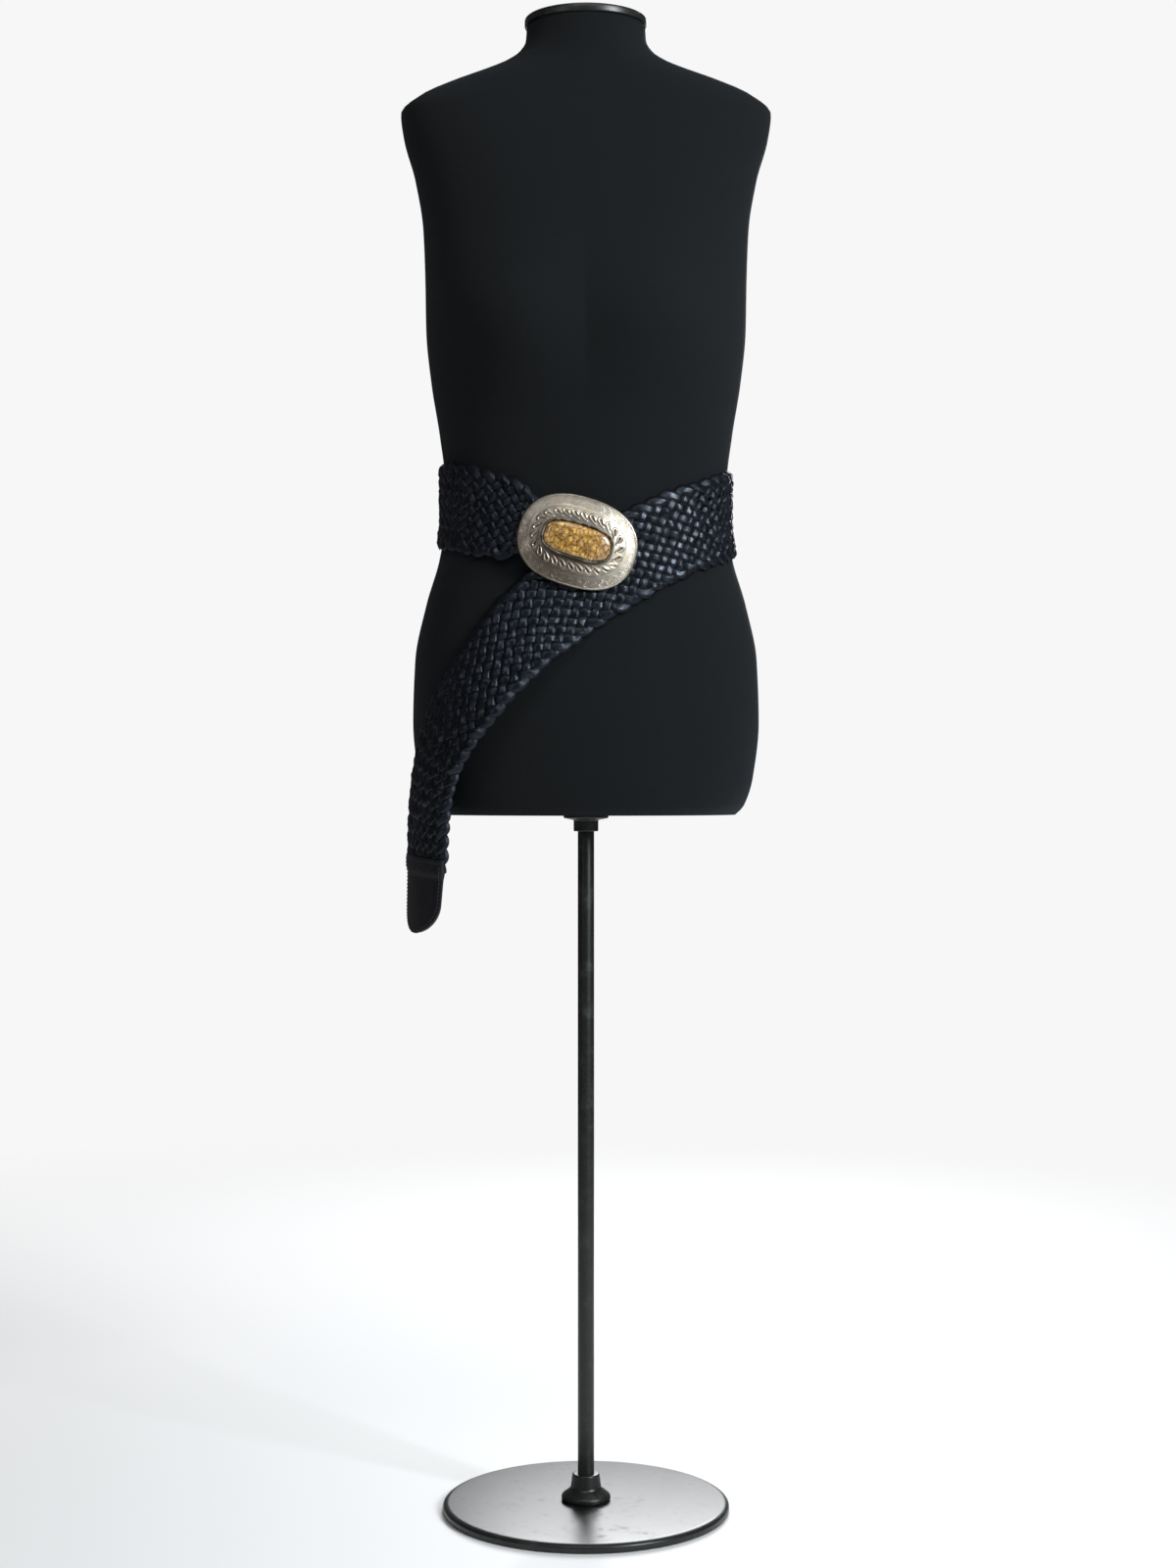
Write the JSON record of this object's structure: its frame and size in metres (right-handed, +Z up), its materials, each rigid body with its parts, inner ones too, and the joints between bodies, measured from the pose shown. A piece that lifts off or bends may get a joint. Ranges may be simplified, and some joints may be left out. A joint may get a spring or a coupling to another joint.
{
  "type": "braided leather waist belt on a dress form",
  "caption": "Wide plaited leather waist belt with an oval stone-set plate buckle and a hanging free end, worn on a limbless dress form on a pole and round base.",
  "frame": {"origin": "on the floor at the middle of the round base", "axes": "+Z up, the form and the buckle face -Y, +X is to the right as seen from the front"},
  "size_m": [0.362, 0.28, 1.4633],
  "materials": {
    "leather": "glossy finished black leather with a blue cast, fine grain, worn brighter on the crowns of the plait",
    "silver": "aged silver plate, stamped and engraved, bright on the rim and dark in the cut lines",
    "stone": "polished amber-brown stone with darker crackle lines",
    "jersey": "matte black knitted jersey stretched over the form",
    "steel": "satin black paint on steel"
  },
  "bodies": {
    "root": {"strap": "leather", "end_tab": "leather", "buckle_tab": "leather", "buckle_plate": "silver", "buckle_bezel": "silver", "buckle_bale": "silver", "buckle_hook": "silver", "buckle_stone": "stone", "form_body": "jersey", "form_cap": "steel", "form_collar": "steel", "form_pole": "steel", "form_hub": "steel", "form_base": "steel"}
  },
  "joints": []
}
